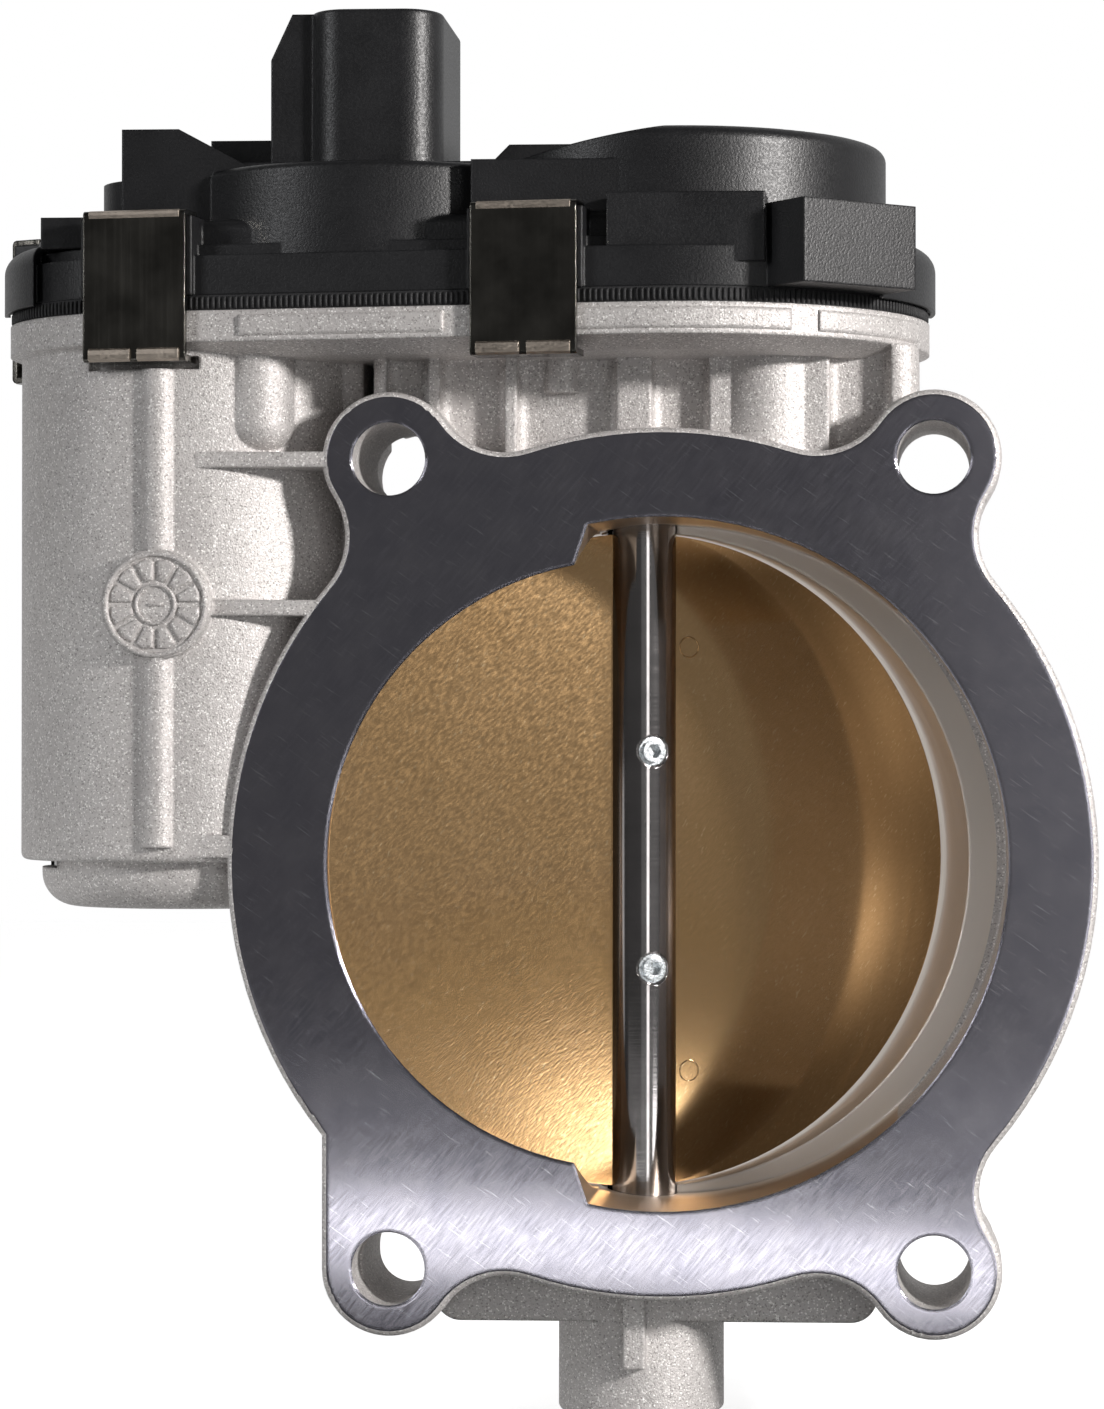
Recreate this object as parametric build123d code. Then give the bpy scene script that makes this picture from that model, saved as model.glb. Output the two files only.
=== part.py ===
from build123d import *
import os
from math import acos, atan2, cos, degrees, pi, radians, sin, sqrt, tan

# Electronic throttle body for a large petrol engine.
#
# Frame, in millimetres: the origin is the centre of the four manifold bolts on
# the flange face. +X points away from the motor, +Y runs along the bore from
# the manifold flange to the inlet, and +Z runs along the throttle shaft
# towards the gear cover. The plate stands part open, where its springs leave it.

# Manifold flange
BOLT_X = 35.0
BOLT_Z = 52.0
BOLT_HOLE_R = 4.7
FLANGE_R = 56.0
FLANGE_T = 10.0
EAR_R = 8.7
EAR_BOSS_R = 8.2
EAR_BOSS_LENGTH = 24.0
BOLT_HEAD_R = 6.3
EAR_BLEND_R = 9.5
SLOT_WIDTH = 8.6
SLOT_START_Y = 7.0
EDGE_ROUND_R = 0.9

# Bore and throttle plate
BORE_X = -4.0
SHAFT_Y = 22.0
SEAT_R = 43.6
SEAT_HALF_LENGTH = 3.0
CONTOUR_R = 41.0
POCKET_R = 44.5
INLET_POCKET_R = 42.5
INLET_POCKET_X = -6.0
NECK_Y = 44.0
BARREL_R = 51.0
SNOUT_R = 50.0
SNOUT_BORE_R = 47.0
SNOUT_START_Y = 50.0
SNOUT_END_Y = 68.0
SNOUT_CHAMFER = 1.0
PLATE_R = 43.4
PLATE_T = 2.0
REST_ANGLE = 25.0
CLOSE_TRAVEL = 19.0
OPEN_TRAVEL = 62.0

# Throttle shaft and its bearings
SHAFT_R = 4.6
SHAFT_CLEARANCE = 0.1
JOURNAL_R = 4.5
GEAR_SEAT_R = 4.0
SHAFT_BOTTOM_Z = -69.0
SHAFT_TOP_Z = 82.5
GEAR_SEAT_Z = 71.0
SEAL_R = 7.5
SEAL_Z = 46.0
SEAL_T = 3.6
BEARING_Z = -66.5
BEARING_W = 5.0
BEARING_R = 8.5
BALL_R = 1.0
BALL_CIRCLE_R = 6.5
BALLS = 11
RACE_GAP = 0.06
NEEDLE_R = 1.0
NEEDLES = 14
NEEDLE_START_Z = 51.0
NEEDLE_LENGTH = 9.0
PLATE_SCREW_Z = 14.4
PLATE_SCREW_R = 1.9
LOWER_BOSS_R = 11.0
LOWER_BOSS_END_Z = -73.0
WEB_X = (-30.5, 27.6)
WEB_Z = (-60.2, -48.0)

# Gear case
CASE_A = (2.0, 22.0)
CASE_A_R = 32.4
CASE_B = (-63.5, 24.0)
CASE_B_R = 25.5
RIM_BOTTOM_Z = 67.0
RIM_TOP_Z = 71.0
RIM_UNDER_Z = 65.4
TRAY_FLOOR_Z = 67.5
WELL_FLOOR_Z = 62.0
PEDESTAL_FRONT_Y = 5.0
PEDESTAL_BACK_Y = 42.0
PEDESTAL_LEFT_X = -38.0
PEDESTAL_RIGHT_X = 33.0
PEDESTAL_BOTTOM_Z = 28.0
WALL_POCKETS_X = ((-36, -30.5), (-29, -20.5), (-19, -6), (-1.5, 6), (21.5, 29.5))
WALL_POCKET_BOTTOM_Z = 40.0
WALL_POCKET_DEPTH = 3.0
WALL_COLUMN = (13.6, 10.2)
WALL_COLUMN_R = 7.0

# Motor
MOTOR = (-67.95, 22.8)
CASING_R = 24.0
CASING_BORE_R = 17.0
CASING_BOTTOM_Z = -6.2
CASING_FLOOR_Z = -1.0
CASING_FRONT_Y = CASE_B[1] - CASING_R
CASING_END_INSET = 2.8
CASING_END_ROUND_R = 4.5
BEAD_X = -65.0
BEAD_R = 2.3
DISC_R = 7.1
DISC_Z = 33.3
DISC_PROUD = 1.2
CASING_RIBS = ((-60.0, 51.0, 53.0), (-58.0, 31.9, 33.9), (-61.8, 0.7, 3.6))
CASING_RIB_RIGHT_X = -42.0
CASING_RIB_RECESS = 0.2
CASING_COLUMN = (-52.6, 5.2)
CASING_COLUMN_R = 4.5
CASING_COLUMN_BOTTOM_Z = 53.0
CASING_LINK = (-60.0, -40.0, 12.0, 40.0)
CAN_R = 16.6
CAN_WALL = 1.2
CAN_BOTTOM_Z = 0.6
CAN_TOP_Z = 63.0
MAGNET_T = 3.2
MOTOR_SHAFT_R = 1.6
ARMATURE_R = 11.6
ARMATURE_SLOTS = 8
COMMUTATOR_R = 4.6

# Gears
FIRST_MODULE = 0.8
PINION_TEETH = 14
LARGE_TEETH = 61
SECOND_MODULE = 1.0
SMALL_TEETH = 14
SECTOR_TEETH = 54
PRESSURE_ANGLE = 20.0
BACKLASH = 0.12
SECTOR_Z = 73.8
SECTOR_T = 4.2
LARGE_Z = 81.6
LARGE_T = 5.4
PIN_R = 2.5
PIN_BOTTOM_Z = 58.6
LUG_R = 16.0
STOP_POST_R = 2.5

# Cover
SEAL_BAND_T = 2.0
COVER_Z = RIM_TOP_Z + SEAL_BAND_T
BAND_TOP_Z = 78.2
MOTOR_TOP_Z = 83.2
LEFT_DOME_Z = 90.1
RIGHT_DOME_Z = 94.2
LEFT_DOME = (-38.0, 23.5)
LEFT_DOME_R = 27.4
RIGHT_DOME_R = 26.6
COVER_WALL = 2.0
CONNECTOR_TOP_Z = 111.0
CONNECTOR_X = -37.8
CONNECTOR_Y = 19.0
CONNECTOR_W = 17.4
CONNECTOR_D = 28.0
CONNECTOR_CORNER_R = 5.0
CONNECTOR_WALL = 2.0
CONNECTOR_BASE_Z = 91.3
KEY_X = (-51.6, -48.8)
KEY_Y = (8.0, 12.5)
KEY_TOP_Z = (104.8, 110.8)
SOCKET_FLOOR_Z = 95.0
PIN_ROWS = 2
PIN_COLUMNS = 3
CLIP_W = 13.8
CLIP_T = 0.8
CLIP_HOOK = 3.2
CLIP_PAD_GAP = 0.6
CLIP_SHARES = (0.22, 0.20)
CLIP_ANGLES_B = (-99, 155, 97)
CLIP_ANGLE_A = 62
SHOULDER_OVERHANG = 0.8
SHOULDER_TOP_Z = 80.8
BRIDGE_X = (-24.0, -4.0)
BRIDGE_FRONT_Y = -3.6
PLATFORM_X = (-6.2, 13.8)
PLATFORM_FRONT_Y = -8.9
PLATFORM_TOP_Z = 85.0
MOTOR_CAP_R = 8.6
MOTOR_CAP_Z = 90.2
SLANT_X = (-70.9, -63.4, -53.0)
SLANT_Y = (6.0, 34.0)
SLANT_TOP_Z = 95.6
SLANT_FALL = 5.6
REAR_BLOCK_X = (-62.0, -45.5)
REAR_BLOCK_Y = (22.0, 37.0)
REAR_BLOCK_TOP_Z = 96.4
REAR_RAMP_X = (-29.0, -22.4, -12.0)
REAR_RAMP_Y = (28.0, 44.0)
REAR_RAMP_Z = (87.0, 89.9, 96.5)
POST_ANGLE = -52.0
POST_R = (29.0, 38.7)
POST_HALF_W = 8.75
POST_TOP_Z = 83.6

SHAFT = (BORE_X, SHAFT_Y)


def place(x, y, z=0.0, turn=0.0):
    """A location at a point, turned about +Z by an angle in degrees."""
    return Location((x, y, z), (0, 0, turn))


def column(r, z0, z1, at=SHAFT):
    """An upright cylinder between two heights."""
    body = Cylinder(r, z1 - z0, align=(Align.CENTER, Align.CENTER, Align.MIN))
    return place(*at, z0) * body


def tube(r_out, r_in, z0, z1, at=SHAFT):
    """An upright tube between two heights."""
    return column(r_out, z0, z1, at) - column(r_in, z0, z1, at)


def block(x0, x1, y0, y1, z0, z1):
    """A box between three pairs of limits."""
    body = Box(x1 - x0, y1 - y0, z1 - z0, align=(Align.MIN, Align.MIN, Align.MIN))
    return Location((x0, y0, z0)) * body


def along_bore(sketch, y0, y1):
    """Extrude a sketch drawn in X and Z from one depth to another."""
    return extrude(Plane.XZ.offset(-y0) * sketch, amount=y0 - y1)


def upright(sketch, z0, z1, taper=0.0):
    """Extrude a sketch drawn in X and Y from one height to another."""
    return extrude(Plane.XY.offset(z0) * sketch, amount=z1 - z0, taper=taper)


def polar(r, angle, centre=SHAFT):
    """The plan point at a radius and angle from a centre."""
    return (centre[0] + r * cos(radians(angle)), centre[1] + r * sin(radians(angle)))


def case_plan(inset=0.0):
    """The gear case's outline: two circles and the straight sides between them."""
    a = Pos(*CASE_A) * Circle(CASE_A_R - inset)
    b = Pos(*CASE_B) * Circle(CASE_B_R - inset)
    return make_hull(a.edges() + b.edges())


# --- gears -----------------------------------------------------------------

def involute(base_r, r):
    """The angle, in radians, by which an involute has unrolled at a radius."""
    ratio = acos(min(1.0, base_r / r))
    return tan(ratio) - ratio


def tooth_flank(teeth, module, steps=4):
    """Points (radius, half angle) up one flank of a spur gear tooth."""
    pitch_r = teeth * module / 2
    base_r = pitch_r * cos(radians(PRESSURE_ANGLE))
    tip_r = pitch_r + module
    root_r = pitch_r - 1.25 * module
    half = pi / (2 * teeth) - BACKLASH / (2 * pitch_r) + involute(base_r, pitch_r)
    start_r = max(base_r, root_r)
    radii = [start_r + (tip_r - start_r) * k / steps for k in range(steps + 1)]
    flank = [(r, half - involute(base_r, r)) for r in radii]
    if root_r < start_r - 0.01:
        flank.insert(0, (root_r, half))
    return flank


def gear_plan(teeth, module, first=0.0, only=None):
    """A spur gear outline with a tooth centred on an angle in degrees."""
    flank = tooth_flank(teeth, module)
    step = 360.0 / teeth
    points = []
    for tooth in range(teeth if only is None else only):
        middle = radians(first + tooth * step)
        points += [(r * cos(middle - a), r * sin(middle - a)) for r, a in flank]
        points += [(r * cos(middle + a), r * sin(middle + a)) for r, a in reversed(flank)]
    if only is not None:
        points.append((0, 0))
    return make_face(Polyline(points, close=True))


FIRST_DISTANCE = FIRST_MODULE * (PINION_TEETH + LARGE_TEETH) / 2
SECOND_DISTANCE = SECOND_MODULE * (SMALL_TEETH + SECTOR_TEETH) / 2
SPAN = sqrt((MOTOR[0] - BORE_X) ** 2 + (MOTOR[1] - SHAFT_Y) ** 2)
LINE_ANGLE = degrees(atan2(MOTOR[1] - SHAFT_Y, MOTOR[0] - BORE_X))
IDLER_ALONG = (SECOND_DISTANCE ** 2 - FIRST_DISTANCE ** 2 + SPAN ** 2) / (2 * SPAN)
IDLER_TURN = degrees(acos(IDLER_ALONG / SECOND_DISTANCE))
IDLER_ANGLE = LINE_ANGLE - IDLER_TURN
IDLER = polar(SECOND_DISTANCE, IDLER_ANGLE)
PINION_ANGLE = degrees(atan2(MOTOR[1] - IDLER[1], MOTOR[0] - IDLER[0]))


# --- housing ---------------------------------------------------------------

def flange_plan():
    """The manifold flange outline in X and Z, with blended ears."""
    ears = [(x, z) for x in (-BOLT_X, BOLT_X) for z in (-BOLT_Z, BOLT_Z)]
    plan = Sketch() + Circle(FLANGE_R) + [Pos(x, z) * Circle(EAR_R) for x, z in ears]
    corners = [
        v for v in plan.vertices()
        if abs(v.X ** 2 + v.Y ** 2 - FLANGE_R ** 2) < 1 and abs(v.Y) > 1
    ]
    plan = fillet(corners, EAR_BLEND_R)
    ear_left_x = -BOLT_X - EAR_R
    square_side = Rectangle(EAR_R, BOLT_Z - 34.0, align=(Align.MIN, Align.MIN))
    return plan + Pos(ear_left_x, -BOLT_Z) * square_side


def ear_points():
    """The four bolt centres in X and Z."""
    return [(x, z) for x in (-BOLT_X, BOLT_X) for z in (-BOLT_Z, BOLT_Z)]


def flange():
    """The flange plate, its outer edge rounded on the machined side, and bosses."""
    plate = along_bore(flange_plan(), 0, FLANGE_T)
    front = plate.faces().sort_by(Axis.Y)[0]
    plate = fillet(front.outer_wire().edges(), EDGE_ROUND_R)
    for x, z in ear_points():
        plate += along_bore(Pos(x, z) * Circle(EAR_BOSS_R), 2, EAR_BOSS_LENGTH)
    return plate


def contour_r(depth_from_seat):
    """The radius of the plate's close-fitting contour away from the seat."""
    return SEAT_R - CONTOUR_R + sqrt(CONTOUR_R ** 2 - depth_from_seat ** 2)


def bore_core():
    """The passage common to both sides: lip, contour, seat, neck and inlet flare."""
    near = SHAFT_Y - SEAT_HALF_LENGTH
    far = SHAFT_Y + SEAT_HALF_LENGTH
    half = near / 2
    flare_y = SNOUT_START_Y + 4
    lip_r = contour_r(near)
    x = BORE_X
    outline = (
        Polyline((x, -1), (x + lip_r, -1), (x + lip_r, 0))
        + ThreePointArc((x + lip_r, 0), (x + contour_r(half), near - half), (x + SEAT_R, near))
        + Line((x + SEAT_R, near), (x + SEAT_R, far))
        + ThreePointArc((x + SEAT_R, far), (x + contour_r(half), far + half), (x + lip_r, NECK_Y))
        + ThreePointArc(
            (x + lip_r, NECK_Y), (x + lip_r + 1.9, NECK_Y + 6.2), (x + SNOUT_BORE_R, flare_y)
        )
        + Polyline((x + SNOUT_BORE_R, flare_y), (x + SNOUT_BORE_R, SNOUT_END_Y + 1),
                   (x, SNOUT_END_Y + 1), (x, -1))
    )
    return revolve(make_face(outline), Axis((x, 0, 0), (0, 1, 0)))


def bore_pockets():
    """The wider half pockets that the plate turns away from."""
    far = 70.0
    step = [(-11.1, 38.2), (-9.3, 43.5), (-6.0, far), (far, far)]
    mirrored = [(x, -z) for x, z in reversed(step)]
    right = make_face(Polyline(step + mirrored, close=True))
    front = along_bore(Circle(POCKET_R) & right, -1, SHAFT_Y)
    left = Pos(2 * BORE_X, 0) * mirror(right, Plane.YZ)
    back = along_bore((Pos(INLET_POCKET_X, 0) * Circle(INLET_POCKET_R)) & left, SHAFT_Y, 53)
    return front + back


def motor_casing():
    """The casing beside the bore, its dished end, parting bead, ribs and date disc."""
    casing = column(CASING_R, 0, RIM_BOTTOM_Z, CASE_B)
    casing = fillet(casing.faces().sort_by(Axis.Z)[0].edges(), EDGE_ROUND_R)
    end = column(CASING_R - CASING_END_INSET, CASING_BOTTOM_Z, 1, CASE_B)
    casing += fillet(end.faces().sort_by(Axis.Z)[0].edges(), CASING_END_ROUND_R)
    y = CASING_FRONT_Y
    casing += column(BEAD_R, 2, RIM_BOTTOM_Z - 1, (BEAD_X, y - DISC_PROUD + BEAD_R))
    casing += along_bore(Pos(BEAD_X, DISC_Z) * Circle(DISC_R), y - DISC_PROUD, y + 6)
    for x, z0, z1 in CASING_RIBS:
        casing += block(x, CASING_RIB_RIGHT_X, y + CASING_RIB_RECESS, y + 12, z0, z1)
    casing += block(*CASING_LINK, 2, RIM_BOTTOM_Z)
    boss = column(CASING_COLUMN_R, CASING_COLUMN_BOTTOM_Z, RIM_BOTTOM_Z, CASING_COLUMN)
    return casing + fillet(boss.faces().sort_by(Axis.Z)[0].edges(), 3.8)


def pedestal():
    """The wall between the flange and the gear case, with ribs and pockets."""
    width = PEDESTAL_RIGHT_X - PEDESTAL_LEFT_X
    depth = PEDESTAL_BACK_Y - PEDESTAL_FRONT_Y
    plan = Pos(PEDESTAL_LEFT_X + width / 2, PEDESTAL_FRONT_Y + depth / 2) * RectangleRounded(
        width, depth, 3.0
    )
    wall = upright(plan, PEDESTAL_BOTTOM_Z, RIM_BOTTOM_Z)
    back = PEDESTAL_FRONT_Y + WALL_POCKET_DEPTH
    for x0, x1 in WALL_POCKETS_X:
        pocket = block(x0, x1, PEDESTAL_FRONT_Y - 2, back, WALL_POCKET_BOTTOM_Z, 80)
        wall -= fillet(pocket.edges().filter_by(Axis.Z), 1.4)
    return wall + column(WALL_COLUMN_R, WALL_POCKET_BOTTOM_Z, RIM_BOTTOM_Z, WALL_COLUMN)


def gear_tray():
    """The gear case's rimmed tray under the cover."""
    tray = upright(case_plan(), RIM_UNDER_Z, RIM_TOP_Z)
    under = tray.faces().sort_by(Axis.Z)[0]
    return chamfer(under.edges(), 4.5, RIM_BOTTOM_Z - RIM_UNDER_Z, reference=under)


def lower_boss():
    """The lower bearing boss and the web that ties it to the barrel."""
    web = block(*WEB_X, 12, 32, *WEB_Z)
    web = fillet(web.edges().filter_by(Axis.Y), 3.5)
    boss = column(LOWER_BOSS_R, LOWER_BOSS_END_Z, -40)
    boss = fillet(boss.faces().sort_by(Axis.Z)[0].edges(), 0.8)
    rib = block(BORE_X - 1.4, BORE_X + 1.4, 8.5, 14, -66, -50)
    return web + boss + rib


def stop_posts():
    """Cast posts that the sector gear's lug meets at each end of its travel."""
    lug_half = degrees(2.0 / LUG_R)
    post_half = degrees(STOP_POST_R / LUG_R)
    gap = lug_half + post_half + 0.8
    posts = column(STOP_POST_R, WELL_FLOOR_Z - 1, 72.6, polar(LUG_R, 270 - CLOSE_TRAVEL - gap))
    return posts + column(STOP_POST_R, WELL_FLOOR_Z - 1, 72.6, polar(LUG_R, 270 + OPEN_TRAVEL + gap))


def throttle_housing():
    body = flange()
    body += along_bore(Pos(BORE_X, 0) * Circle(BARREL_R), 0.6, SNOUT_START_Y)
    snout = along_bore(Pos(BORE_X, 0) * Circle(SNOUT_R), SNOUT_START_Y - 1, SNOUT_END_Y)
    body += chamfer(snout.faces().sort_by(Axis.Y)[-1].outer_wire().edges(), SNOUT_CHAMFER)
    body += motor_casing()
    body += pedestal() + gear_tray() + lower_boss()
    body -= upright(case_plan(3.0), TRAY_FLOOR_Z, RIM_TOP_Z + 1)
    well = block(-27, 29.5, 8.5, 38.5, WELL_FLOOR_Z, TRAY_FLOOR_Z + 1)
    body -= fillet(well.edges().filter_by(Axis.Z), 5.0)
    body += column(10.2, 44, 69.8) + stop_posts()
    body -= bore_core() + bore_pockets()
    body -= column(CASING_BORE_R, CASING_FLOOR_Z, RIM_TOP_Z, MOTOR)
    body -= column(SHAFT_R + SHAFT_CLEARANCE, -50, 50)
    body -= column(SEAL_R, SEAL_Z, 72) + column(SEAL_R, -SEAL_Z - SEAL_T, -SEAL_Z)
    body -= column(6.4, BEARING_Z, -SEAL_Z - SEAL_T + 0.1)
    body -= column(BEARING_R, LOWER_BOSS_END_Z - 1, BEARING_Z + BEARING_W)
    body -= column(PIN_R, PIN_BOTTOM_Z, 80, IDLER)
    for notch in clip_pads(RIM_UNDER_Z - 1.7, RIM_UNDER_Z, 3, 3.9):
        body -= notch
    for x, y in motor_screw_points():
        body -= column(1.6, 56, 80, (x, y))
    for x, z in ear_points():
        slotted = x < 0 and z < 0
        body -= along_bore(Pos(x, z) * Circle(BOLT_HEAD_R), EAR_BOSS_LENGTH, PEDESTAL_BACK_Y + 1)
        body -= along_bore(
            Pos(x, z) * Circle(BOLT_HOLE_R), -1, SLOT_START_Y if slotted else EAR_BOSS_LENGTH + 1
        )
        if slotted:
            slot = Pos(x, z) * SlotOverall(2 * BOLT_HOLE_R, SLOT_WIDTH, rotation=90)
            body -= along_bore(slot, SLOT_START_Y - 1, EAR_BOSS_LENGTH + 1)
    return body


# --- throttle shaft and plate ----------------------------------------------

def across_plate(shape):
    """Carry a shape from plate axes (Y through the plate) to its rest place."""
    return place(*SHAFT, 0, REST_ANGLE) * shape


def plate_axis_cylinder(r, y0, y1, z=0.0):
    """A cylinder through the plate's thickness, in plate axes."""
    return along_bore(Pos(0, z) * Circle(r), y0, y1)


def throttle_plate():
    blank = plate_axis_cylinder(PLATE_R + 1.5, -PLATE_T / 2, PLATE_T / 2)
    bore = plate_axis_cylinder(PLATE_R, -20, 20)
    ground = blank & (Rot(0, 0, CLOSE_TRAVEL - REST_ANGLE) * bore)
    for z in (-PLATE_SCREW_Z, PLATE_SCREW_Z):
        ground -= plate_axis_cylinder(PLATE_SCREW_R + 0.1, -5, 5, z)
    return across_plate(ground)


def throttle_shaft():
    shaft = column(SHAFT_R, BEARING_Z + BEARING_W, GEAR_SEAT_Z, (0, 0))
    shaft += column(JOURNAL_R, SHAFT_BOTTOM_Z, BEARING_Z + BEARING_W, (0, 0))
    shaft += column(GEAR_SEAT_R, GEAR_SEAT_Z, SHAFT_TOP_Z, (0, 0))
    shaft -= tube(6.0, 3.7, BEARING_Z - 1.0, BEARING_Z - 0.2, (0, 0))
    slot_half = PLATE_R + 0.5
    shaft -= block(-6, 6, -PLATE_T / 2 - 0.03, PLATE_T / 2 + 0.03, -slot_half, slot_half)
    for z in (-PLATE_SCREW_Z, PLATE_SCREW_Z):
        shaft -= plate_axis_cylinder(PLATE_SCREW_R + 0.05, -8, 8, z)
        shaft -= plate_axis_cylinder(2.2, -8, -4.0, z)
        shaft -= plate_axis_cylinder(3.6, 3.9, 8, z)
    return across_plate(shaft)


def plate_screws():
    screws = []
    for z in (-PLATE_SCREW_Z, PLATE_SCREW_Z):
        shank = plate_axis_cylinder(PLATE_SCREW_R, -4.1, 3.9, z)
        tip = plate_axis_cylinder(1.5, -4.7, -4.0, z)
        head = plate_axis_cylinder(3.3, 3.9, 5.8, z)
        socket = along_bore(Pos(0, z) * RegularPolygon(1.0, 6), -5, -3.6)
        drive = along_bore(Pos(0, z) * RegularPolygon(1.6, 6), 4.6, 6)
        screws.append(across_plate(shank + tip + head - socket - drive))
    return Compound(children=screws)


# --- bearings and seals ----------------------------------------------------

def race_groove():
    """The ring of clearance round the balls."""
    middle = BEARING_Z + BEARING_W / 2
    return place(*SHAFT, middle) * Torus(BALL_CIRCLE_R, BALL_R + RACE_GAP)


def lower_bearing_outer_race():
    return tube(BEARING_R, BALL_CIRCLE_R + 0.75, BEARING_Z, BEARING_Z + BEARING_W) - race_groove()


def lower_bearing_inner_race():
    return tube(BALL_CIRCLE_R - 0.75, JOURNAL_R, BEARING_Z, BEARING_Z + BEARING_W) - race_groove()


def ball_points():
    """The centres of the balls."""
    middle = BEARING_Z + BEARING_W / 2
    return [(*polar(BALL_CIRCLE_R, 360 * k / BALLS), middle) for k in range(BALLS)]


def lower_bearing_balls():
    return Compound(children=[Pos(*point) * Sphere(BALL_R) for point in ball_points()])


def lower_bearing_cage():
    middle = BEARING_Z + BEARING_W / 2
    cage = tube(BALL_CIRCLE_R + 0.4, BALL_CIRCLE_R - 0.4, middle - 1.5, middle + 1.5)
    for k in range(BALLS):
        pocket = Pos(BALL_CIRCLE_R, 0, middle) * Rot(0, 90, 0) * Cylinder(BALL_R + RACE_GAP, 2)
        cage -= place(*SHAFT, 0, 360 * k / BALLS) * pocket
    return cage


def upper_bearing_shell():
    top = NEEDLE_START_Z + NEEDLE_LENGTH
    shell = tube(SEAL_R, 6.7, NEEDLE_START_Z - 0.8, top + 0.8)
    shell += tube(SEAL_R, SHAFT_R + 0.5, NEEDLE_START_Z - 0.8, NEEDLE_START_Z - 0.1)
    return shell + tube(SEAL_R, SHAFT_R + 0.5, top + 0.1, top + 0.8)


def upper_bearing_needles():
    circle_r = SHAFT_R + NEEDLE_R + 0.04
    top = NEEDLE_START_Z + NEEDLE_LENGTH
    points = [polar(circle_r, 360 * k / NEEDLES) for k in range(NEEDLES)]
    return Compound(children=[column(NEEDLE_R, NEEDLE_START_Z, top, at) for at in points])


def shaft_seal(z0):
    """A lip seal filling its pocket and just clear of the shaft."""
    seal = tube(SEAL_R, SHAFT_R + 0.05, z0, z0 + SEAL_T)
    return seal - tube(6.3, SHAFT_R + 0.7, z0 + 1.2, z0 + SEAL_T + 1)


def shaft_retaining_ring():
    ring = tube(5.4, 3.8, BEARING_Z - 0.9, BEARING_Z - 0.3)
    gap = block(BORE_X - 1.2, BORE_X + 1.2, SHAFT_Y - 7, SHAFT_Y, BEARING_Z - 2, BEARING_Z)
    return ring - gap


def lower_end_plug():
    return column(BEARING_R, LOWER_BOSS_END_Z + 0.6, LOWER_BOSS_END_Z + 1.8)


# --- motor -----------------------------------------------------------------

def motor_screw_points():
    """Where the motor's mounting plate is screwed to the tray."""
    return [polar(20.4, angle, MOTOR) for angle in (62, -50)]


def motor_can():
    can = column(CAN_R, CAN_BOTTOM_Z, CAN_TOP_Z, MOTOR)
    can -= column(CAN_R - CAN_WALL, CAN_BOTTOM_Z + CAN_WALL, CAN_TOP_Z + 1, MOTOR)
    return can - column(4.0, CAN_BOTTOM_Z - 1, CAN_BOTTOM_Z + 3, MOTOR)


def motor_wave_washer():
    return tube(15.0, 11.0, CASING_FLOOR_Z + 0.1, CAN_BOTTOM_Z - 0.1, MOTOR)


def motor_rear_bush():
    return tube(4.0, MOTOR_SHAFT_R + 0.04, CAN_BOTTOM_Z, CAN_BOTTOM_Z + 4, MOTOR)


def motor_front_bush():
    return tube(4.0, MOTOR_SHAFT_R + 0.04, CAN_TOP_Z, CAN_TOP_Z + 5.5, MOTOR)


def motor_magnets():
    outer = CAN_R - CAN_WALL
    ring = tube(outer, outer - MAGNET_T, 8, 48, MOTOR)
    gap = block(-3.2, 3.2, outer - MAGNET_T - 3, outer + 1, 7, 49)
    for turn in (0, 180):
        ring -= place(*MOTOR, 0, turn) * gap
    return ring


def armature_slot(r_in, r_out, z0, z1):
    """One winding slot's shape, pointing along +X from the motor axis."""
    return block(r_in, r_out, -1.5, 1.5, z0, z1)


def motor_armature():
    core = tube(ARMATURE_R, MOTOR_SHAFT_R, 12, 44, MOTOR)
    for k in range(ARMATURE_SLOTS):
        turn = 360 * k / ARMATURE_SLOTS
        core -= place(*MOTOR, 0, turn) * armature_slot(6.0, ARMATURE_R + 1, 11, 45)
    return core


def motor_windings():
    coils = tube(ARMATURE_R - 1.2, 3.0, 44, 48.5, MOTOR) + tube(ARMATURE_R - 1.2, 3.0, 8, 12, MOTOR)
    for k in range(ARMATURE_SLOTS):
        turn = 360 * k / ARMATURE_SLOTS
        coils += place(*MOTOR, 0, turn) * armature_slot(6.0, ARMATURE_R - 1.4, 11.5, 44.5)
    return coils


def motor_commutator():
    ring = tube(COMMUTATOR_R, MOTOR_SHAFT_R, 50, 58, MOTOR)
    for k in range(ARMATURE_SLOTS):
        slit = block(COMMUTATOR_R - 0.8, COMMUTATOR_R + 1, -0.2, 0.2, 50.8, 59)
        ring -= place(*MOTOR, 0, 360 * k / ARMATURE_SLOTS) * slit
    return ring


def motor_shaft():
    return column(MOTOR_SHAFT_R, CAN_BOTTOM_Z + 0.4, LARGE_Z + LARGE_T + 0.6, MOTOR)


def motor_brushes():
    brush = block(COMMUTATOR_R + 0.1, COMMUTATOR_R + 6.5, -1.8, 1.8, 52, 56)
    return Compound(children=[place(*MOTOR, 0, turn) * brush for turn in (90, 270)])


def motor_brush_springs():
    spring = block(COMMUTATOR_R + 6.5, CAN_R - CAN_WALL - 0.4, -1.0, 1.0, 53, 55)
    return Compound(children=[place(*MOTOR, 0, turn) * spring for turn in (90, 270)])


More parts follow.
